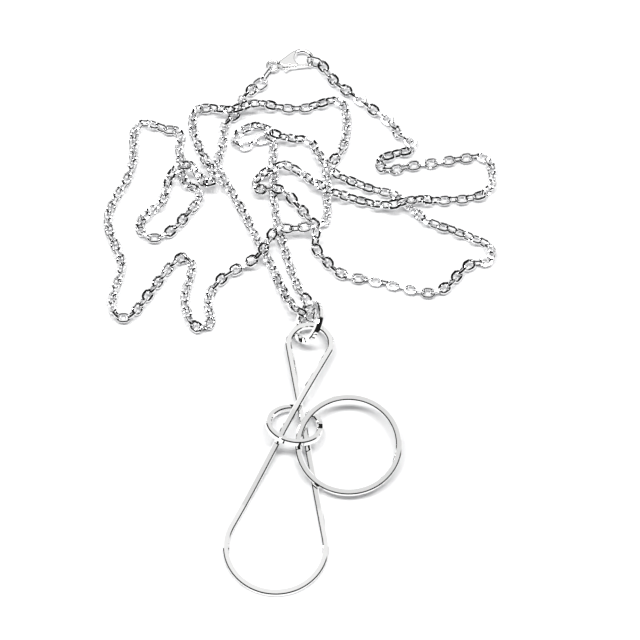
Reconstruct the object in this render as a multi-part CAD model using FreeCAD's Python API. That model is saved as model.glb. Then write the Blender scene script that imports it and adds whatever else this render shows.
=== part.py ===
import FreeCAD, Part
import math
import os

# Pendant necklace laid out on a flat surface, in millimetres.
# The pendant is a figure eight of square wire with a neck ring round its waist, a large ring
# threaded through the neck ring, and a bail ring that joins its upper loop to the chain.
# The cable chain is one free cord. It starts at an oval end link on the tail of a lobster
# clasp, runs down through the bail ring and back, and ends at the link held in the clasp.
# +Z is up from the surface at Z = 0, +Y runs from the pendant's wide loop towards the clasp,
# and the origin is the centre of the pendant's footprint.

Vector = FreeCAD.Vector
UP = Vector(0, 0, 1)
EAST = Vector(1, 0, 0)

# Square wire of the pendant
WIRE = 1.55
WIRE_EDGE = 0.25
HALF = WIRE / 2

# Figure eight: radii and centres of its two loops at mid wire, and the heights of its wire.
# Its wide loop lies on the surface, where TRIM is worn off its underside.
WIDE_RADIUS = 12.7
NARROW_RADIUS = 5.5
WIDE_CENTRE = Vector(-9.4, -27.3, 0)
NARROW_CENTRE = Vector(-0.8, 29.5, 0)
FLAT_UNTIL = 8.0
TRIM = 0.01
RESTING = HALF - TRIM
UNDER_AT_CROSSING = 2.95
OVER_AT_CROSSING = 4.65
TOP_END_HEIGHT = 3.2
STRAND_STEPS = 16
LOOP_STEPS = 36

# Rings: mean radius, centre and the way each lies
NECK_RADIUS = 6.68
NECK_CENTRE = Vector(-4.7, 5.9, 3.75)
NECK_NORMAL = Vector(0.133, 0.380, 0.915)
LARGE_RADIUS = 12.92
LARGE_CENTRE = Vector(9.2, 0.1, 4.1)
LARGE_NORMAL = Vector(0, -0.0976, 0.9952)
BAIL_RADIUS = 5.15
BAIL_CENTRE = Vector(-1.03, 34.82, 5.36)
BAIL_NORMAL = Vector(-0.82, 0.037, 0.571)

# Cable chain: envelope of its links, and the links at its ends
CHAIN_DIAMETER = 2.4
LINK_WIRE = 0.72
OVAL_LINK = (4.6, 3.8)
OVAL_CENTRE = Vector(-14.13, 107.64, 1.5)
OVAL_ALONG = Vector(0.75, 0.66, 0)
JOINING_LINK = (6.0, 3.5)
JOINING_CENTRE = Vector(-12.31, 110.52, 1.75)
JOINING_ALONG = Vector(-0.537, -0.844, 0)
HELD_LINK = (4.8, 3.7)
HELD_CENTRE = Vector(0.388, 114.093, 1.78)
HELD_ALONG = Vector(0.9613, -0.2756, 0)
HELD_NORMAL = Vector(-0.2590, -0.9033, 0.3420)

# Lobster clasp, in its own frame: the centre of the claw at the origin, the tail towards -X
CLASP_CENTRE = Vector(-2.88, 115.03, 1.45)
CLASP_TURN = 13.5
CLAW_RADIUS = 2.7
CLAW_WIRE = 1.2
CLAW_OPEN_AT = -54.0
CLAW_ROOT_AT = 150.0
BODY_THICKNESS = 2.4
TAIL_X = -7.96
TAIL_RADIUS = 1.5
TAIL_WIRE = 0.8
PIVOT = Vector(-3.7, -1.3, 0)
PIN_RADIUS = 0.25
PIN_CLEARANCE = 0.04
GATE_THICKNESS = 0.9
SLOT_WIDTH = 1.02
SLOT_TOP = -0.4
SPRING_THICKNESS = 0.12


def chamfered_square(width, edge):
    """Corner points of a square section with its edges broken, anticlockwise."""
    half = width / 2
    inner = half - edge
    return [(half, -inner), (half, inner), (inner, half), (-inner, half),
            (-half, inner), (-half, -inner), (-inner, -half), (inner, -half)]


def eased(position, knots):
    """Height at a position along the eight, rising smoothly from knot to knot."""
    for (start, low), (end, high) in zip(knots, knots[1:]):
        if position <= end:
            share = max(0.0, (position - start) / (end - start))
            return low + (high - low) * share * share * (3 - 2 * share)
    return knots[-1][1]


def figure_eight_line():
    """Points along the middle of the eight's wire, once round."""
    axis = NARROW_CENTRE - WIDE_CENTRE
    span = axis.Length
    along = axis / span
    left = UP.cross(along)
    touch = math.acos((WIDE_RADIUS + NARROW_RADIUS) / span)
    crossing = span * WIDE_RADIUS / (WIDE_RADIUS + NARROW_RADIUS)
    strand = math.sqrt(span ** 2 - (WIDE_RADIUS + NARROW_RADIUS) ** 2)

    def point(u, v, at_crossing):
        knots = [(-WIDE_RADIUS, RESTING), (FLAT_UNTIL, RESTING), (crossing, at_crossing),
                 (span + NARROW_RADIUS, TOP_END_HEIGHT)]
        return WIDE_CENTRE + along * u + left * v + UP * eased(u, knots)

    line = []
    # over strand, from the wide loop's left side to the narrow loop's right side
    for i in range(1, STRAND_STEPS):
        run = strand * i / STRAND_STEPS
        u = WIDE_RADIUS * math.cos(touch) + run * math.sin(touch)
        v = WIDE_RADIUS * math.sin(touch) - run * math.cos(touch)
        line.append(point(u, v, OVER_AT_CROSSING))
    # narrow loop, over its far end
    for i in range(LOOP_STEPS + 1):
        angle = (math.pi - touch) * (2 * i / LOOP_STEPS - 1)
        u = span + NARROW_RADIUS * math.cos(angle)
        v = NARROW_RADIUS * math.sin(angle)
        line.append(point(u, v, OVER_AT_CROSSING if angle < 0 else UNDER_AT_CROSSING))
    # under strand, back down to the wide loop's right side
    for i in range(1, STRAND_STEPS):
        run = strand * i / STRAND_STEPS
        u = span - NARROW_RADIUS * math.cos(touch) - run * math.sin(touch)
        v = NARROW_RADIUS * math.sin(touch) - run * math.cos(touch)
        line.append(point(u, v, UNDER_AT_CROSSING))
    # wide loop, round its near end
    for i in range(LOOP_STEPS + 1):
        angle = -touch - (2 * math.pi - 2 * touch) * i / LOOP_STEPS
        line.append(point(WIDE_RADIUS * math.cos(angle), WIDE_RADIUS * math.sin(angle), RESTING))
    return line


def closed_square_wire(line):
    """Closed bar of chamfered square section, kept upright, round a line of points."""
    curve = Part.BSplineCurve()
    curve.interpolate(Points=line, PeriodicFlag=True)
    start = curve.value(curve.FirstParameter)
    sideways = curve.tangent(curve.FirstParameter)[0].cross(UP).normalize()
    corners = [start + sideways * a + UP * b for a, b in chamfered_square(WIRE, WIRE_EDGE)]
    sweep = Part.BRepOffsetAPI.MakePipeShell(Part.Wire(curve.toShape()))
    sweep.setBiNormalMode(UP)
    sweep.add(Part.makePolygon(corners + corners[:1]))
    sweep.build()
    sweep.makeSolid()
    return sweep.shape()


def figure_eight():
    """The eight's closed wire, with a flat underside where it lies on the surface."""
    wire = closed_square_wire(figure_eight_line())
    below = Part.makeBox(100, 120, 1, Vector(-50, -60, -1))
    return wire.cut(below)


def facing(shape, centre, normal):
    """Shape made round the origin and +Z, turned to face the normal and moved to the centre."""
    placed = shape.copy()
    placed.Placement = FreeCAD.Placement(centre, FreeCAD.Rotation(UP, normal))
    return placed


def square_ring(mean_radius):
    """Flat ring of the pendant's square wire round +Z."""
    corners = [Vector(mean_radius + a, 0, b) for a, b in chamfered_square(WIRE, WIRE_EDGE)]
    section = Part.Face(Part.makePolygon(corners + corners[:1]))
    return section.revolve(Vector(0, 0, 0), UP, 360)


def round_sweep(edges, radius):
    """Solid of round section along joined edges."""
    path = Part.Wire(edges)
    first = edges[0]
    start = first.valueAt(first.FirstParameter)
    heading = first.tangentAt(first.FirstParameter)
    profile = Part.Wire(Part.makeCircle(radius, start, heading))
    return path.makePipeShell([profile], True, True)


def oval_link(length, width, wire):
    """Link of round wire lying in XY, long along X."""
    end_radius = (width - wire) / 2
    straight = (length - width) / 2
    corners = [Vector(-straight, end_radius, 0), Vector(straight, end_radius, 0),
               Vector(straight, -end_radius, 0), Vector(-straight, -end_radius, 0)]
    right = Part.Arc(corners[1], Vector(straight + end_radius, 0, 0), corners[2])
    left = Part.Arc(corners[3], Vector(-straight - end_radius, 0, 0), corners[0])
    edges = [Part.LineSegment(corners[0], corners[1]).toShape(), right.toShape(),
             Part.LineSegment(corners[2], corners[3]).toShape(), left.toShape()]
    return round_sweep(edges, wire / 2)


def placed_link(size, wire, centre, along, normal):
    """Link with its long axis along one direction and its flat face towards the normal."""
    across = normal.cross(along)
    turn = FreeCAD.Rotation(along, across, normal, "ZXY")
    link = oval_link(size[0], size[1], wire)
    link.Placement = FreeCAD.Placement(centre, turn)
    return link


def cord_tube(route, diameter):
    """Round tube along straight runs joined by tangent arcs, and the radii of its arcs."""
    reach = 0.45
    edges = []
    radii = []
    last = route[0]
    for before, corner, after in zip(route, route[1:], route[2:]):
        back = before - corner
        ahead = after - corner
        trim = reach * min(back.Length, ahead.Length)
        back.normalize()
        ahead.normalize()
        half_turn = (math.pi - back.getAngle(ahead)) / 2
        radius = trim / math.tan(half_turn)
        radii.append(radius)
        start = corner + back * trim
        end = corner + ahead * trim
        middle_direction = (back + ahead).normalize()
        depth = math.hypot(radius, trim) - radius
        edges.append(Part.LineSegment(last, start).toShape())
        edges.append(Part.Arc(start, corner + middle_direction * depth, end).toShape())
        last = end
    edges.append(Part.LineSegment(last, route[-1]).toShape())
    return round_sweep(edges, diameter / 2), radii, sum(edge.Length for edge in edges)


# The chain's route: heights of 1.3 lie on the surface, and 4.1 passes over another stretch.
ROUTE = [
    # from the oval end link down to the pendant
    (-16.5, 105.5, 1.3), (-18.5, 104, 1.3), (-19.5, 101.5, 1.3), (-19.5, 99, 1.3),
    (-21.5, 97.5, 1.3), (-23.5, 95.5, 1.3), (-23.5, 91.5, 1.3), (-24, 88, 1.3),
    (-25.5, 84, 1.3), (-24, 79.5, 1.3), (-21, 74.5, 1.3), (-17.5, 68, 1.3),
    (-14.5, 60.5, 1.3), (-10.5, 53, 1.3), (-8.5, 47.5, 1.3), (-6.5, 43, 2.2),
    # through the bail ring
    (-5, 39.5, 4.4), (-3, 37.5, 5.3), (-1, 37, 4.2), (1, 37.2, 2.8), (1.8, 39.5, 1.8),
    # back up the second strand
    (-0.5, 42, 1.3), (-3, 45, 1.3), (-4.5, 48.5, 1.3), (-6, 53, 1.3), (-7.5, 58.5, 1.3),
    (-9, 64.5, 1.3), (-10, 70, 1.3), (-10.5, 75.5, 1.3), (-10, 80.5, 1.3), (-10.5, 84, 1.3),
    # fold to the left and back, over the strand's end
    (-10.5, 87, 1.3), (-10, 89.5, 1.3), (-11.5, 91.5, 1.3), (-14, 91, 1.3), (-16.5, 89.5, 1.3),
    (-18.5, 88.5, 1.3), (-20.5, 89, 1.3), (-21, 91.5, 1.3), (-19.5, 93, 1.3), (-17, 94.5, 1.3),
    (-14, 95, 2.6), (-12, 92, 4.1), (-9, 90.5, 4.1), (-6.5, 90.5, 2.6), (-3.5, 91, 1.3),
    (-1, 91, 1.3), (0.5, 88.5, 1.3), (1.5, 85.5, 2.6), (3.5, 82, 4.1), (5.5, 79.5, 4.1),
    # out to the lower right lobe
    (8, 78.5, 2.6), (11, 78, 1.3), (14, 76.5, 1.3), (17, 75.5, 1.3), (20, 75, 1.3),
    (22, 74, 1.3), (24, 72.5, 1.3), (26, 70, 1.3), (28.5, 67.5, 1.3), (31.5, 65.5, 1.3),
    (36.5, 64, 1.3), (41.5, 61.5, 1.3), (45.5, 60, 1.3), (47.5, 57, 1.3), (45.5, 54, 1.3),
    (42.5, 54.5, 1.3), (39.5, 53, 1.3), (37, 49.5, 1.3), (34.5, 46.5, 1.3), (30.5, 45, 1.3),
    (26, 46.5, 1.3), (20, 48, 1.3), (14.5, 49.5, 1.3), (9, 50, 1.3), (5.5, 52, 1.3),
    (3, 55.5, 1.3), (0.5, 58, 1.3), (0.5, 60, 2.8), (1.5, 62, 4.1), (0.5, 64, 4.1),
    # leftwards over both strands
    (-2, 63.5, 4.1), (-5, 62.5, 4.1), (-8, 63.5, 4.1), (-10.5, 62, 4.1), (-12, 58.5, 4.1),
    (-14, 55, 4.1), (-16.5, 53.5, 2.6), (-19.5, 52.5, 1.3), (-23, 50.5, 1.3), (-26, 47, 1.3),
    # the folds at the lower left
    (-27.5, 43.5, 1.3), (-27, 40, 1.3), (-26, 37, 1.3), (-28, 34.5, 1.3), (-30.5, 35, 1.3),
    (-32.5, 38.5, 1.3), (-33.5, 43, 1.3), (-33, 47, 1.3), (-31.5, 51, 1.3), (-31.5, 54.5, 1.3),
    (-33.5, 56.5, 1.3), (-35.5, 55, 1.3), (-38, 52.5, 1.3), (-41, 47.5, 1.3), (-44.5, 42.5, 1.3),
    (-47, 38.5, 1.3), (-50, 37.5, 1.3), (-52.5, 40.5, 1.3), (-52, 45.5, 1.3), (-50.5, 50, 1.3),
    # up the far left
    (-49.5, 54, 1.3), (-51, 58, 1.3), (-53, 62.5, 1.3), (-54, 67.5, 1.3), (-52.5, 72.5, 1.3),
    (-49.5, 77.5, 1.3), (-47.5, 82.5, 1.3), (-47, 88, 1.3), (-47.5, 92.5, 1.3), (-46, 96, 1.3),
    (-43.5, 96, 1.3), (-40.5, 94.5, 1.3), (-38, 93.5, 1.3), (-36, 94, 1.3), (-34.5, 92.5, 1.3),
    (-35, 90, 1.3), (-35.5, 87, 1.3), (-34.5, 84.5, 1.3), (-34.5, 81.5, 1.3), (-34, 78.5, 1.3),
    # the small lower loop and the tangle above it
    (-32.5, 76.5, 1.3), (-29.5, 76, 1.3), (-29.5, 73, 1.3), (-32, 70, 1.3), (-35.5, 65, 1.3),
    (-39.5, 61.5, 1.3), (-43.5, 61.5, 1.3), (-46, 64.5, 1.3), (-44.5, 68, 1.3), (-42, 69.5, 1.3),
    (-39.5, 72, 1.3), (-38.5, 75.5, 1.3), (-38, 78, 2.6), (-37, 79.5, 4.1), (-35, 81.5, 4.1),
    (-33, 82.5, 4.1), (-31, 80.5, 4.1), (-29.5, 77.5, 4.1), (-27.5, 75.5, 4.1), (-25.5, 77, 4.1),
    (-26.5, 80.5, 4.1), (-28.5, 84.5, 2.2), (-30, 88.5, 1.3), (-31.5, 92.5, 1.3), (-32, 97, 1.3),
    # along the top and down the middle
    (-31, 100, 1.3), (-28, 100.5, 1.3), (-25, 99.5, 2.4), (-21.5, 98, 4.1), (-18, 99.5, 4.1),
    (-15.5, 100.5, 4.1), (-13, 101, 2.6), (-8.5, 100.5, 1.3), (-4, 100, 1.3), (1, 101, 1.3),
    (5, 103, 1.3), (7.5, 102.5, 1.3), (9, 99, 1.3), (9, 94.5, 1.3), (8.5, 90, 1.3),
    (6.5, 85.5, 1.3), (3, 82, 1.3), (4, 77.5, 1.3), (3.5, 73.5, 1.3), (4, 70, 1.3),
    (3.5, 67, 1.3), (3, 65, 1.3), (1, 64.5, 1.3), (-0.5, 66.5, 1.3), (-2.5, 69.5, 1.3),
    # the small loop over the second strand
    (-4.5, 71.5, 1.3), (-6.5, 74, 2.6), (-9, 75, 4.1), (-12, 74.5, 4.1), (-14.5, 74.5, 2.8),
    (-15.5, 77, 2.4), (-14, 79, 2.8), (-12, 80, 4.1), (-8.5, 82, 4.1), (-6.5, 82.5, 2.8),
    # out to the upper right loop
    (-4, 81.5, 1.3), (-1, 78.5, 2.2), (2, 75.5, 4.1), (5.5, 73.5, 4.1), (8, 73.5, 2.6),
    (11, 73, 1.3), (14.5, 72, 1.3), (18, 70.5, 2.4), (22, 70, 4.1), (25.5, 71.5, 4.1),
    (29, 72.5, 2.4), (32.5, 72.5, 1.3), (36, 73, 1.3), (40, 73, 1.3), (44, 74, 1.3),
    (46.5, 75.5, 1.3), (47.5, 79, 1.3), (47, 83.5, 1.3), (45, 86.5, 1.3), (41.5, 85.5, 1.3),
    (37.5, 85, 1.3), (32.5, 84, 1.3), (28, 83.5, 1.3), (23.5, 82.5, 1.3), (20, 81.5, 1.3),
    # the kink and the last stretch up to the clasp
    (17, 82, 1.3), (17.5, 85, 1.3), (20, 86, 1.3), (23.5, 87, 1.3), (26, 87.5, 1.3),
    (27, 89.5, 1.3), (25.5, 91, 1.3), (23, 91, 1.3), (22, 94, 1.3), (20, 97, 1.3),
    (16.5, 99, 1.3), (12.5, 103, 1.3), (8.5, 105.8, 1.3), (5.5, 108.2, 1.3), (3.6, 111.6, 1.3),
]


def plate(corners, thickness):
    """Flat plate of the given outline, centred on Z = 0."""
    outline = [Vector(x, y, -thickness / 2) for x, y in corners]
    return Part.Face(Part.makePolygon(outline + outline[:1])).extrude(UP * thickness)


def clasp_body():
    """Claw, body block and tail ring in one casting, with a slot for the gate."""
    claw = Part.makeTorus(CLAW_RADIUS, CLAW_WIRE / 2, Vector(0, 0, 0), UP, -180, 180,
                          CLAW_ROOT_AT - CLAW_OPEN_AT)
    claw.rotate(Vector(0, 0, 0), UP, CLAW_OPEN_AT)
    angle = math.radians(CLAW_OPEN_AT)
    tip = Part.makeSphere(CLAW_WIRE / 2, Vector(math.cos(angle), math.sin(angle), 0) * CLAW_RADIUS)
    outline = [(-1.3, 2.75), (-2.9, 2.1), (-4.3, 1.35), (-5.7, 0.65), (-6.3, 0.45), (-6.3, -0.45),
               (-5.7, -0.95), (-4.9, -1.6), (-1.7, -2.0), (-1.2, -1.0), (-0.9, 1.2)]
    block = plate(outline, BODY_THICKNESS)
    block = block.makeFillet(0.3, block.Edges)
    opening = Part.makeCylinder(CLAW_RADIUS - CLAW_WIRE / 2, 4, Vector(0, 0, -2))
    tail_ring = Part.makeTorus(TAIL_RADIUS, TAIL_WIRE / 2, Vector(TAIL_X, 0, 0), UP)
    slot = Part.makeBox(4.6, 2.6, SLOT_WIDTH, Vector(-5.6, SLOT_TOP - 2.6, -SLOT_WIDTH / 2))
    pin_hole = Part.makeCylinder(PIN_RADIUS, 4, PIVOT - UP * 2)
    body = block.cut(opening).fuse([claw, tip, tail_ring])
    return body.cut(slot).cut(pin_hole).removeSplitter()


def clasp_gate():
    """Gate that closes the claw, with its eye round the pin and its thumb tab."""
    eye = Part.makeCylinder(0.62, GATE_THICKNESS, PIVOT - UP * GATE_THICKNESS / 2)
    bar = plate([(-3.75, -1.9), (0.85, -2.4), (0.8, -1.65), (-3.6, -0.75)], GATE_THICKNESS)
    tab = Part.makeCylinder(0.45, GATE_THICKNESS, Vector(-4.9, -2.0, -GATE_THICKNESS / 2))
    arm = plate([(-3.7, -1.9), (-4.85, -2.42), (-5.1, -1.62), (-3.9, -0.75)], GATE_THICKNESS)
    bore = Part.makeCylinder(PIN_RADIUS + PIN_CLEARANCE, 4, PIVOT - UP * 2)
    return eye.fuse([bar, tab, arm]).cut(bore).removeSplitter()


def clasp_spring():
    """Leaf that pushes the gate shut, held in the top of the slot."""
    leaf = plate([(-5.2, SLOT_TOP), (-5.2, SLOT_TOP - SPRING_THICKNESS),
                  (-2.6, SLOT_TOP - SPRING_THICKNESS), (-2.6, SLOT_TOP)], GATE_THICKNESS - 0.2)
    return leaf


def in_clasp_frame(shape):
    """Shape in the clasp's own frame, turned and moved to where the clasp lies."""
    placed = shape.copy()
    placed.Placement = FreeCAD.Placement(CLASP_CENTRE, FreeCAD.Rotation(UP, CLASP_TURN))
    return placed


def main():
    route = [Vector(*point) for point in ROUTE]
    chain, radii, length = cord_tube(route, CHAIN_DIAMETER)
    section = math.pi * CHAIN_DIAMETER ** 2 / 4
    print("chain length %.1f mm, tube volume over section times length %.4f"
          % (length, chain.Volume / (section * length)))
    print("arc radii: smallest %.2f, %d under three diameters" %
          (min(radii), sum(radius < 3 * CHAIN_DIAMETER for radius in radii)))

    parts = {
        "figure_eight": figure_eight(),
        "neck_ring": facing(square_ring(NECK_RADIUS), NECK_CENTRE, NECK_NORMAL),
        "large_ring": facing(square_ring(LARGE_RADIUS), LARGE_CENTRE, LARGE_NORMAL),
        "bail_ring": facing(square_ring(BAIL_RADIUS), BAIL_CENTRE, BAIL_NORMAL),
        "chain": chain,
        "clasp_body": in_clasp_frame(clasp_body()),
        "clasp_gate": in_clasp_frame(clasp_gate()),
        "clasp_pin": in_clasp_frame(Part.makeCylinder(PIN_RADIUS, BODY_THICKNESS - 0.3,
                                                      PIVOT - UP * (BODY_THICKNESS / 2 - 0.15))),
        "clasp_spring": in_clasp_frame(clasp_spring()),
        "joining_link": placed_link(JOINING_LINK, LINK_WIRE, JOINING_CENTRE, JOINING_ALONG,
                                    UP.cross(JOINING_ALONG)),
        "oval_end_link": placed_link(OVAL_LINK, LINK_WIRE, OVAL_CENTRE, OVAL_ALONG, UP),
        "held_link": placed_link(HELD_LINK, LINK_WIRE, HELD_CENTRE, HELD_ALONG, HELD_NORMAL),
    }
    os.makedirs("parts", exist_ok=True)
    for name, shape in parts.items():
        solids = shape.Solids
        print("%-14s valid %s solids %d volume %.2f"
              % (name, shape.isValid(), len(solids), shape.Volume))
        shape.exportStep("parts/%s.step" % name)


if __name__ == "__main__":
    main()
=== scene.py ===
import math
import random

import bpy
from mathutils import Matrix, Vector


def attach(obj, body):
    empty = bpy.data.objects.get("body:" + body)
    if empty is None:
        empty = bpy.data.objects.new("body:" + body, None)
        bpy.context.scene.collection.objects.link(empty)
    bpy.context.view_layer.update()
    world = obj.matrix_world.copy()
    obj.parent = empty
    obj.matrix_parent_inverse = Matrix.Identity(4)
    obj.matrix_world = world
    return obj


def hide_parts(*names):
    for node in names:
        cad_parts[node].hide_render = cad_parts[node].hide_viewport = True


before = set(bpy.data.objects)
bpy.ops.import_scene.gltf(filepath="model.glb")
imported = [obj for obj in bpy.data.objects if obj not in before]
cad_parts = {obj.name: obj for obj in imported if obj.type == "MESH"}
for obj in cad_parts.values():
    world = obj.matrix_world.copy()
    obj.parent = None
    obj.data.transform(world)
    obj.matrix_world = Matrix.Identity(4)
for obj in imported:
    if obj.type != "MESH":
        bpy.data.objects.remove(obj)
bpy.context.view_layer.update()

# Pendant necklace on a pale surface, in metres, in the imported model's frame.
# Lengths written in millimetres are multiplied by MM.
MM = 0.001
UP = Vector((0, 0, 1))

# Square wire of the pendant, with its edges broken
WIRE = 1.55 * MM
WIRE_EDGE = 0.25 * MM
HALF = WIRE / 2
RESTING = HALF - 0.01 * MM

# Figure eight: its two loops at mid wire and the heights of its wire
WIDE_RADIUS = 12.7 * MM
NARROW_RADIUS = 5.5 * MM
WIDE_CENTRE = Vector((-9.4, -27.3, 0)) * MM
NARROW_CENTRE = Vector((-0.8, 29.5, 0)) * MM
FLAT_UNTIL = 8.0 * MM
UNDER_AT_CROSSING = 2.95 * MM
OVER_AT_CROSSING = 4.65 * MM
TOP_END_HEIGHT = 3.2 * MM

# Rings: mean radius, centre and the way each faces
RINGS = {
    "neck_ring": (6.68 * MM, Vector((-4.7, 5.9, 3.75)) * MM, Vector((0.133, 0.380, 0.915))),
    "large_ring": (12.92 * MM, Vector((9.2, 0.1, 4.1)) * MM, Vector((0, -0.0976, 0.9952))),
    "bail_ring": (5.15 * MM, Vector((-1.03, 34.82, 5.36)) * MM, Vector((-0.82, 0.037, 0.571))),
}

# Cable chain: link sizes, the cut edges of its wire, and how far its links lean in degrees
LINK_LENGTH = 3.8 * MM
LINK_WIDTH = 3.0 * MM
LINK_WIRE = 0.72 * MM
LINK_EDGE = 0.235 * MM
LINK_LEAN = 45
LINK_LEAN_SPREAD = 6
LINK_PITCH = 2.34 * MM
LINK_LIFT = 0.2 * MM

# Larger links at the chain's ends: size, centre, long axis and facing
END_LINKS = {
    "joining_link": ((6.0, 3.5), (-12.31, 110.52, 1.75), (-0.537, -0.844, 0), (0.844, -0.537, 0)),
    "oval_end_link": ((4.6, 3.8), (-14.13, 107.64, 1.5), (0.75, 0.66, 0), (0, 0, 1)),
    "held_link": ((4.8, 3.7), (0.388, 114.093, 1.78), (0.9613, -0.2756, 0), (-0.259, -0.9033, 0.342)),
}
# Where the chain's first and last links hook into the links at its ends
CHAIN_STARTS_AT = Vector((-15.32, 106.6, 1.5)) * MM
CHAIN_ENDS_AT = Vector((2.0, 113.63, 1.78)) * MM

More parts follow.
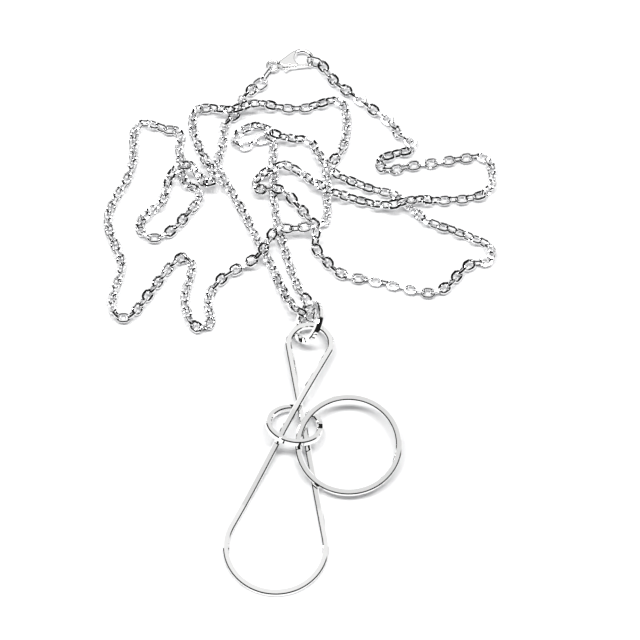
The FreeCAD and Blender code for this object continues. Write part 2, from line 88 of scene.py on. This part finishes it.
# The chain's route in millimetres: 1.3 high lies on the surface, and 4.1 passes over a stretch
ROUTE = [
    # from the oval end link down to the pendant
    (-16.5, 105.5, 1.3), (-18.5, 104, 1.3), (-19.5, 101.5, 1.3), (-19.5, 99, 1.3),
    (-21.5, 97.5, 1.3), (-23.5, 95.5, 1.3), (-23.5, 91.5, 1.3), (-24, 88, 1.3),
    (-25.5, 84, 1.3), (-24, 79.5, 1.3), (-21, 74.5, 1.3), (-17.5, 68, 1.3),
    (-14.5, 60.5, 1.3), (-10.5, 53, 1.3), (-8.5, 47.5, 1.3), (-6.5, 43, 2.2),
    # through the bail ring
    (-5, 39.5, 4.4), (-3, 37.5, 5.3), (-1, 37, 4.2), (1, 37.2, 2.8), (1.8, 39.5, 1.8),
    # back up the second strand
    (-0.5, 42, 1.3), (-3, 45, 1.3), (-4.5, 48.5, 1.3), (-6, 53, 1.3), (-7.5, 58.5, 1.3),
    (-9, 64.5, 1.3), (-10, 70, 1.3), (-10.5, 75.5, 1.3), (-10, 80.5, 1.3), (-10.5, 84, 1.3),
    # fold to the left and back, over the strand's end
    (-10.5, 87, 1.3), (-10, 89.5, 1.3), (-11.5, 91.5, 1.3), (-14, 91, 1.3), (-16.5, 89.5, 1.3),
    (-18.5, 88.5, 1.3), (-20.5, 89, 1.3), (-21, 91.5, 1.3), (-19.5, 93, 1.3), (-17, 94.5, 1.3),
    (-14, 95, 2.6), (-12, 92, 4.1), (-9, 90.5, 4.1), (-6.5, 90.5, 2.6), (-3.5, 91, 1.3),
    (-1, 91, 1.3), (0.5, 88.5, 1.3), (1.5, 85.5, 2.6), (3.5, 82, 4.1), (5.5, 79.5, 4.1),
    # out to the lower right lobe
    (8, 78.5, 2.6), (11, 78, 1.3), (14, 76.5, 1.3), (17, 75.5, 1.3), (20, 75, 1.3),
    (22, 74, 1.3), (24, 72.5, 1.3), (26, 70, 1.3), (28.5, 67.5, 1.3), (31.5, 65.5, 1.3),
    (36.5, 64, 1.3), (41.5, 61.5, 1.3), (45.5, 60, 1.3), (47.5, 57, 1.3), (45.5, 54, 1.3),
    (42.5, 54.5, 1.3), (39.5, 53, 1.3), (37, 49.5, 1.3), (34.5, 46.5, 1.3), (30.5, 45, 1.3),
    (26, 46.5, 1.3), (20, 48, 1.3), (14.5, 49.5, 1.3), (9, 50, 1.3), (5.5, 52, 1.3),
    (3, 55.5, 1.3), (0.5, 58, 1.3), (0.5, 60, 2.8), (1.5, 62, 4.1), (0.5, 64, 4.1),
    # leftwards over both strands
    (-2, 63.5, 4.1), (-5, 62.5, 4.1), (-8, 63.5, 4.1), (-10.5, 62, 4.1), (-12, 58.5, 4.1),
    (-14, 55, 4.1), (-16.5, 53.5, 2.6), (-19.5, 52.5, 1.3), (-23, 50.5, 1.3), (-26, 47, 1.3),
    # the folds at the lower left
    (-27.5, 43.5, 1.3), (-27, 40, 1.3), (-26, 37, 1.3), (-28, 34.5, 1.3), (-30.5, 35, 1.3),
    (-32.5, 38.5, 1.3), (-33.5, 43, 1.3), (-33, 47, 1.3), (-31.5, 51, 1.3), (-31.5, 54.5, 1.3),
    (-33.5, 56.5, 1.3), (-35.5, 55, 1.3), (-38, 52.5, 1.3), (-41, 47.5, 1.3), (-44.5, 42.5, 1.3),
    (-47, 38.5, 1.3), (-50, 37.5, 1.3), (-52.5, 40.5, 1.3), (-52, 45.5, 1.3), (-50.5, 50, 1.3),
    # up the far left
    (-49.5, 54, 1.3), (-51, 58, 1.3), (-53, 62.5, 1.3), (-54, 67.5, 1.3), (-52.5, 72.5, 1.3),
    (-49.5, 77.5, 1.3), (-47.5, 82.5, 1.3), (-47, 88, 1.3), (-47.5, 92.5, 1.3), (-46, 96, 1.3),
    (-43.5, 96, 1.3), (-40.5, 94.5, 1.3), (-38, 93.5, 1.3), (-36, 94, 1.3), (-34.5, 92.5, 1.3),
    (-35, 90, 1.3), (-35.5, 87, 1.3), (-34.5, 84.5, 1.3), (-34.5, 81.5, 1.3), (-34, 78.5, 1.3),
    # the small lower loop and the tangle above it
    (-32.5, 76.5, 1.3), (-29.5, 76, 1.3), (-29.5, 73, 1.3), (-32, 70, 1.3), (-35.5, 65, 1.3),
    (-39.5, 61.5, 1.3), (-43.5, 61.5, 1.3), (-46, 64.5, 1.3), (-44.5, 68, 1.3), (-42, 69.5, 1.3),
    (-39.5, 72, 1.3), (-38.5, 75.5, 1.3), (-38, 78, 2.6), (-37, 79.5, 4.1), (-35, 81.5, 4.1),
    (-33, 82.5, 4.1), (-31, 80.5, 4.1), (-29.5, 77.5, 4.1), (-27.5, 75.5, 4.1), (-25.5, 77, 4.1),
    (-26.5, 80.5, 4.1), (-28.5, 84.5, 2.2), (-30, 88.5, 1.3), (-31.5, 92.5, 1.3), (-32, 97, 1.3),
    # along the top and down the middle
    (-31, 100, 1.3), (-28, 100.5, 1.3), (-25, 99.5, 2.4), (-21.5, 98, 4.1), (-18, 99.5, 4.1),
    (-15.5, 100.5, 4.1), (-13, 101, 2.6), (-8.5, 100.5, 1.3), (-4, 100, 1.3), (1, 101, 1.3),
    (5, 103, 1.3), (7.5, 102.5, 1.3), (9, 99, 1.3), (9, 94.5, 1.3), (8.5, 90, 1.3),
    (6.5, 85.5, 1.3), (3, 82, 1.3), (4, 77.5, 1.3), (3.5, 73.5, 1.3), (4, 70, 1.3),
    (3.5, 67, 1.3), (3, 65, 1.3), (1, 64.5, 1.3), (-0.5, 66.5, 1.3), (-2.5, 69.5, 1.3),
    # the small loop over the second strand
    (-4.5, 71.5, 1.3), (-6.5, 74, 2.6), (-9, 75, 4.1), (-12, 74.5, 4.1), (-14.5, 74.5, 2.8),
    (-15.5, 77, 2.4), (-14, 79, 2.8), (-12, 80, 4.1), (-8.5, 82, 4.1), (-6.5, 82.5, 2.8),
    # out to the upper right loop
    (-4, 81.5, 1.3), (-1, 78.5, 2.2), (2, 75.5, 4.1), (5.5, 73.5, 4.1), (8, 73.5, 2.6),
    (11, 73, 1.3), (14.5, 72, 1.3), (18, 70.5, 2.4), (22, 70, 4.1), (25.5, 71.5, 4.1),
    (29, 72.5, 2.4), (32.5, 72.5, 1.3), (36, 73, 1.3), (40, 73, 1.3), (44, 74, 1.3),
    (46.5, 75.5, 1.3), (47.5, 79, 1.3), (47, 83.5, 1.3), (45, 86.5, 1.3), (41.5, 85.5, 1.3),
    (37.5, 85, 1.3), (32.5, 84, 1.3), (28, 83.5, 1.3), (23.5, 82.5, 1.3), (20, 81.5, 1.3),
    # the kink and the last stretch up to the clasp
    (17, 82, 1.3), (17.5, 85, 1.3), (20, 86, 1.3), (23.5, 87, 1.3), (26, 87.5, 1.3),
    (27, 89.5, 1.3), (25.5, 91, 1.3), (23, 91, 1.3), (22, 94, 1.3), (20, 97, 1.3),
    (16.5, 99, 1.3), (12.5, 103, 1.3), (8.5, 105.8, 1.3), (5.5, 108.2, 1.3), (3.6, 111.6, 1.3),
]


# Studio: white panels by direction, half angle in degrees and brightness, in a dark room
PANELS = [
    ((0, 0.233, 0.972), 19.5, 0.76),
    ((0, 0.559, 0.829), 16, 0.9),
    ((0.171, 0.943, 0.286), 15, 0.8),
    ((0.83, 0.52, 0.2), 22, 0.85),
]
ROOM_BRIGHTNESS = 0.015

# ---------------------------------------------------------------- camera and chain line

def make_camera():
    """Camera 63 degrees above the surface, looking along +Y at the middle of the necklace."""
    target = Vector((1.85, 38.2, 0)) * MM
    distance = 1.6
    elevation = math.radians(63)
    data = bpy.data.cameras.new("camera")
    data.sensor_width = 36
    data.lens = data.sensor_width * distance / (640 * 0.26 * MM)
    data.clip_start = 0.05
    camera = bpy.data.objects.new("camera", data)
    offset = Vector((0, -math.cos(elevation), math.sin(elevation))) * distance
    camera.location = target + offset
    camera.rotation_euler = (math.pi / 2 - elevation, 0, 0)
    bpy.context.scene.collection.objects.link(camera)
    bpy.context.scene.camera = camera


def chain_line():
    """Points of the smooth line that the chain follows."""
    curve = bpy.data.curves.new("chain_line", "CURVE")
    curve.dimensions = "3D"
    curve.resolution_u = 16
    spline = curve.splines.new("NURBS")
    spline.points.add(len(ROUTE) - 1)
    for point, (x, y, z) in zip(spline.points, ROUTE):
        point.co = (x * MM, y * MM, z * MM, 1)
    spline.order_u = 3
    spline.use_endpoint_u = True
    holder = bpy.data.objects.new("chain_line", curve)
    mesh = bpy.data.meshes.new_from_object(holder)
    points = [vertex.co.copy() for vertex in mesh.vertices]
    bpy.data.objects.remove(holder)
    bpy.data.meshes.remove(mesh)
    return points


# ---------------------------------------------------------------- mesh helpers

def add_piece(name, vertices, faces, material, slot, body, *replaced):
    """Smooth-shaded piece that rides on a body and stands for the CAD nodes named."""
    mesh = bpy.data.meshes.new(name)
    mesh.from_pydata([tuple(v) for v in vertices], [], faces)
    mesh.shade_smooth()
    mesh.materials.append(material)
    piece = bpy.data.objects.new(name, mesh)
    bpy.context.scene.collection.objects.link(piece)
    return settle(piece, slot, body, *replaced)


def settle(piece, slot, body, *replaced):
    """Piece tied to its body, with the CAD nodes it stands for hidden; the slot it is given is not
    used.
    """
    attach(piece, body)
    if replaced:
        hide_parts(*replaced)
    return piece


def closed_tube(rings):
    """Vertices and faces of a ring-shaped tube from its closed sections, in order."""
    vertices = [point for ring in rings for point in ring]
    count, around = len(rings), len(rings[0])
    faces = []
    for i in range(count):
        here, there = i * around, (i + 1) % count * around
        for j in range(around):
            k = (j + 1) % around
            faces.append((here + j, there + j, there + k, here + k))
    return vertices, faces


def chamfered_square(width, edge):
    """Corners of a square section with its edges broken, as (sideways, upward) pairs."""
    half = width / 2
    inner = half - edge
    return [(half, -inner), (half, inner), (inner, half), (-inner, half),
            (-half, inner), (-half, -inner), (-inner, -half), (inner, -half)]


def keep_flats(piece):
    """Smooth along the wire, but flat on each of its faces."""
    piece.data.set_sharp_from_angle(angle=math.radians(30))
    return piece


# ---------------------------------------------------------------- pendant

def eased(position, knots):
    """Height at a position along the eight, rising smoothly from knot to knot."""
    for (start, low), (end, high) in zip(knots, knots[1:]):
        if position <= end:
            share = max(0.0, (position - start) / (end - start))
            return low + (high - low) * share * share * (3 - 2 * share)
    return knots[-1][1]


def figure_eight_line():
    """Points along the middle of the eight's wire, once round."""
    strand_steps, loop_steps = 60, 96
    axis = NARROW_CENTRE - WIDE_CENTRE
    span = axis.length
    along = axis / span
    left = UP.cross(along)
    touch = math.acos((WIDE_RADIUS + NARROW_RADIUS) / span)
    crossing = span * WIDE_RADIUS / (WIDE_RADIUS + NARROW_RADIUS)
    strand = math.sqrt(span ** 2 - (WIDE_RADIUS + NARROW_RADIUS) ** 2)

    def point(u, v, at_crossing):
        knots = [(-WIDE_RADIUS, RESTING), (FLAT_UNTIL, RESTING), (crossing, at_crossing),
                 (span + NARROW_RADIUS, TOP_END_HEIGHT)]
        return WIDE_CENTRE + along * u + left * v + UP * eased(u, knots)

    line = []
    for i in range(1, strand_steps):
        run = strand * i / strand_steps
        u = WIDE_RADIUS * math.cos(touch) + run * math.sin(touch)
        v = WIDE_RADIUS * math.sin(touch) - run * math.cos(touch)
        line.append(point(u, v, OVER_AT_CROSSING))
    for i in range(loop_steps + 1):
        angle = (math.pi - touch) * (2 * i / loop_steps - 1)
        u = span + NARROW_RADIUS * math.cos(angle)
        v = NARROW_RADIUS * math.sin(angle)
        line.append(point(u, v, OVER_AT_CROSSING if angle < 0 else UNDER_AT_CROSSING))
    for i in range(1, strand_steps):
        run = strand * i / strand_steps
        u = span - NARROW_RADIUS * math.cos(touch) - run * math.sin(touch)
        v = NARROW_RADIUS * math.sin(touch) - run * math.cos(touch)
        line.append(point(u, v, UNDER_AT_CROSSING))
    for i in range(loop_steps + 1):
        angle = -touch - (2 * math.pi - 2 * touch) * i / loop_steps
        line.append(point(WIDE_RADIUS * math.cos(angle), WIDE_RADIUS * math.sin(angle), RESTING))
    return line


def make_figure_eight(material):
    line = figure_eight_line()
    section = chamfered_square(WIRE, WIRE_EDGE)
    rings = []
    for i, here in enumerate(line):
        heading = line[(i + 1) % len(line)] - line[i - 1]
        sideways = Vector((heading.y, -heading.x, 0)).normalized()
        rings.append([here + sideways * a + UP * b for a, b in section])
    vertices, faces = closed_tube(rings)
    keep_flats(add_piece("eight_wire", vertices, faces, material, "pendant_silver", "root",
                         "figure_eight"))


def make_square_ring(node, material):
    radius, centre, normal = RINGS[node]
    turn = UP.rotation_difference(normal)
    section = chamfered_square(WIRE, WIRE_EDGE)
    steps = 200
    rings = []
    for i in range(steps):
        angle = 2 * math.pi * i / steps
        outward = turn @ Vector((math.cos(angle), math.sin(angle), 0))
        rings.append([centre + outward * (radius + a) + turn @ UP * b for a, b in section])
    vertices, faces = closed_tube(rings)
    keep_flats(add_piece(node + "_wire", vertices, faces, material, "pendant_silver",
                         node + "_body", node))


# ---------------------------------------------------------------- chain

def link_rings(length, width, wire, frame_of_link, path_steps=44):
    """Sections of an oval link of diamond-cut wire, placed by a matrix."""
    section = chamfered_square(wire, LINK_EDGE)
    end_radius = (width - wire) / 2
    straight = (length - width) / 2
    arc = math.pi * end_radius
    total = 2 * arc + 4 * straight
    rings = []
    for i in range(path_steps):
        run = total * i / path_steps
        if run < arc:
            angle = run / end_radius - math.pi / 2
            middle, outward = Vector((straight, 0, 0)), angle
        elif run < arc + 2 * straight:
            middle, outward = Vector((straight - (run - arc), 0, 0)), math.pi / 2
        elif run < 2 * arc + 2 * straight:
            angle = (run - arc - 2 * straight) / end_radius + math.pi / 2
            middle, outward = Vector((-straight, 0, 0)), angle
        else:
            middle = Vector((-straight + (run - 2 * arc - 2 * straight), 0, 0))
            outward = -math.pi / 2
        away = Vector((math.cos(outward), math.sin(outward), 0))
        rings.append([frame_of_link @ (middle + away * (end_radius + a) + UP * b)
                      for a, b in section])
    return rings


def link_frame(centre, along, normal):
    """Matrix that lays a link's long axis along one direction and faces it to the normal."""
    x = along.normalized()
    z = (normal - x * normal.dot(x)).normalized()
    y = z.cross(x)
    return Matrix.Translation(centre) @ Matrix((x, y, z)).transposed().to_4x4()


def joint_points(line, pitch):
    """Points on the line, each one pitch from the last in a straight line."""
    points = [line[0]]
    for start, end in zip(line, line[1:]):
        while (end - points[-1]).length >= pitch:
            low, high = 0.0, 1.0
            for halving in range(20):
                share = (low + high) / 2
                if (start.lerp(end, share) - points[-1]).length < pitch:
                    low = share
                else:
                    high = share
            points.append(start.lerp(end, high))
    return points


def fitted_joints(line):
    """Points where the links meet, spaced so that a whole number of links fills the line."""
    pitch = LINK_PITCH
    for attempt in range(6):
        joints = joint_points(line, pitch)
        spare = (line[-1] - joints[-1]).length
        if spare < pitch / 2:
            pitch += spare / (len(joints) - 1)
        else:
            pitch -= (pitch - spare) / len(joints)
    return joints


def make_chain(line, material):
    """Cable chain: every link turned a quarter turn from the one before it."""
    dice = random.Random(7)
    lifted = [point + UP * LINK_LIFT for point in line]
    joints = fitted_joints([CHAIN_STARTS_AT] + lifted + [CHAIN_ENDS_AT])
    vertices, faces = [], []
    for i, (start, end) in enumerate(zip(joints, joints[1:])):
        along = (end - start).normalized()
        across = UP.cross(along).normalized()
        over = along.cross(across)
        roll = math.radians(LINK_LEAN * abs(along.y) + 90 * (i % 2)
                            + dice.uniform(-LINK_LEAN_SPREAD, LINK_LEAN_SPREAD))
        normal = over * math.cos(roll) + across * math.sin(roll)
        placed = link_frame((start + end) / 2, along, normal)
        link_vertices, link_faces = closed_tube(link_rings(LINK_LENGTH, LINK_WIDTH, LINK_WIRE, placed))
        first = len(vertices)
        vertices += link_vertices
        faces += [tuple(first + corner for corner in face) for face in link_faces]
    chain = keep_flats(add_piece("chain_links", vertices, faces, material, "chain_silver", "root",
                                 "chain"))


def make_end_links(material):
    for node, (size, centre, along, normal) in END_LINKS.items():
        placed = link_frame(Vector(centre) * MM, Vector(along), Vector(normal))
        rings = link_rings(size[0] * MM, size[1] * MM, LINK_WIRE, placed, 56)
        vertices, faces = closed_tube(rings)
        keep_flats(add_piece(node + "_wire", vertices, faces, material, "chain_silver",
                             node + "_body", node))


# ---------------------------------------------------------------- clasp

def softened_copy(node, name, voxel, rounds, material, slot, body):
    """Cast-looking copy of a CAD node, with its edges smoothed."""
    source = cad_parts[node]
    mesh = source.data.copy()
    mesh.name = name
    piece = bpy.data.objects.new(name, mesh)
    bpy.context.scene.collection.objects.link(piece)
    remesh = piece.modifiers.new("remesh", "REMESH")
    remesh.mode = "VOXEL"
    remesh.voxel_size = voxel
    smooth = piece.modifiers.new("smooth", "SMOOTH")
    smooth.iterations = rounds
    smooth.factor = 0.5
    graph = bpy.context.evaluated_depsgraph_get()
    final = bpy.data.meshes.new_from_object(piece.evaluated_get(graph))
    piece.modifiers.clear()
    piece.data = final
    final.materials.clear()
    final.materials.append(material)
    final.shade_smooth()
    return settle(piece, slot, body, node)


def make_clasp(material):
    softened_copy("clasp_body", "clasp_casting", 0.07 * MM, 8, material, "clasp_silver", "root")
    softened_copy("clasp_gate", "clasp_gate_casting", 0.05 * MM, 4, material, "clasp_silver",
                  "gate_body")


# ---------------------------------------------------------------- materials

def silver(name, base, roughness, scratch_scale):
    """Polished silver with faint wear in its shine and its surface."""
    material = bpy.data.materials.new(name)
    material.use_nodes = True
    nodes, links = material.node_tree.nodes, material.node_tree.links
    shader = nodes["Principled BSDF"]
    shader.inputs["Base Color"].default_value = (*base, 1)
    shader.inputs["Metallic"].default_value = 1.0
    coordinates = nodes.new("ShaderNodeTexCoord")
    wear = nodes.new("ShaderNodeTexNoise")
    wear.inputs["Scale"].default_value = scratch_scale
    wear.inputs["Detail"].default_value = 6
    shine = nodes.new("ShaderNodeMapRange")
    shine.inputs["To Min"].default_value = roughness * 0.7
    shine.inputs["To Max"].default_value = roughness * 1.5
    ripple = nodes.new("ShaderNodeBump")
    ripple.inputs["Strength"].default_value = 0.06
    ripple.inputs["Distance"].default_value = 0.01 * MM
    links.new(coordinates.outputs["Object"], wear.inputs["Vector"])
    links.new(wear.outputs["Fac"], shine.inputs["Value"])
    links.new(shine.outputs["Result"], shader.inputs["Roughness"])
    links.new(wear.outputs["Fac"], ripple.inputs["Height"])
    links.new(ripple.outputs["Normal"], shader.inputs["Normal"])
    return material


def pale_floor():
    material = bpy.data.materials.new("pale_floor")
    material.use_nodes = True
    shader = material.node_tree.nodes["Principled BSDF"]
    shader.inputs["Base Color"].default_value = (0.9, 0.9, 0.9, 1)
    shader.inputs["Roughness"].default_value = 0.9
    shader.inputs["Specular IOR Level"].default_value = 0.0
    shader.inputs["Emission Color"].default_value = (0.9, 0.92, 1.0, 1)
    shader.inputs["Emission Strength"].default_value = 0.07
    return material


# ---------------------------------------------------------------- studio

def make_floor():
    size = 3.0
    mesh = bpy.data.meshes.new("floor")
    mesh.from_pydata([(-size, -size, 0), (size, -size, 0), (size, size, 0), (-size, size, 0)], [],
                     [(0, 1, 2, 3)])
    mesh.materials.append(pale_floor())
    floor = bpy.data.objects.new("floor", mesh)
    bpy.context.scene.collection.objects.link(floor)


def make_softbox():
    """Strip softbox overhead, long from left to right."""
    data = bpy.data.lights.new("softbox", "AREA")
    data.shape = "RECTANGLE"
    data.size = 3.6
    data.size_y = 0.66
    data.energy = 116
    lamp = bpy.data.objects.new("softbox", data)
    lamp.location = Vector((-0.1, 0, 3.0))
    bpy.context.scene.collection.objects.link(lamp)


def make_surroundings():
    """White panels in an otherwise dark room."""
    world = bpy.data.worlds.new("studio")
    bpy.context.scene.world = world
    world.use_nodes = True
    nodes, links = world.node_tree.nodes, world.node_tree.links
    background = nodes["Background"]
    background.inputs["Color"].default_value = (1, 1, 1, 1)
    coordinates = nodes.new("ShaderNodeTexCoord")
    brightest = None
    for middle, half_angle, brightness in PANELS:
        nearness = nodes.new("ShaderNodeVectorMath")
        nearness.operation = "DOT_PRODUCT"
        nearness.inputs[1].default_value = middle
        edge = nodes.new("ShaderNodeMapRange")
        edge.inputs["From Min"].default_value = math.cos(math.radians(half_angle + 3))
        edge.inputs["From Max"].default_value = math.cos(math.radians(half_angle - 3))
        edge.inputs["To Min"].default_value = ROOM_BRIGHTNESS
        edge.inputs["To Max"].default_value = brightness
        links.new(coordinates.outputs["Generated"], nearness.inputs[0])
        links.new(nearness.outputs["Value"], edge.inputs["Value"])
        if brightest is None:
            brightest = edge.outputs["Result"]
            continue
        total = nodes.new("ShaderNodeMath")
        total.operation = "MAXIMUM"
        links.new(brightest, total.inputs[0])
        links.new(edge.outputs["Result"], total.inputs[1])
        brightest = total.outputs["Value"]
    links.new(brightest, background.inputs["Strength"])


# ---------------------------------------------------------------- build

make_camera()
chain_path = chain_line()
pendant_silver = silver("pendant_silver", (0.95, 0.95, 0.945), 0.03, 900)
chain_silver = silver("chain_silver", (0.93, 0.93, 0.935), 0.02, 1400)
clasp_silver = silver("clasp_silver", (0.93, 0.93, 0.925), 0.09, 1400)
spring_steel = silver("spring_steel", (0.6, 0.6, 0.6), 0.3, 2000)
make_chain(chain_path, chain_silver)
make_end_links(chain_silver)
make_figure_eight(pendant_silver)
for ring_node in RINGS:
    make_square_ring(ring_node, pendant_silver)
make_clasp(clasp_silver)
for node, material in (("clasp_pin", clasp_silver), ("clasp_spring", spring_steel)):
    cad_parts[node].data.materials.clear()
    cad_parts[node].data.materials.append(material)
make_floor()
make_softbox()
make_surroundings()
bpy.context.scene.view_settings.view_transform = "Standard"
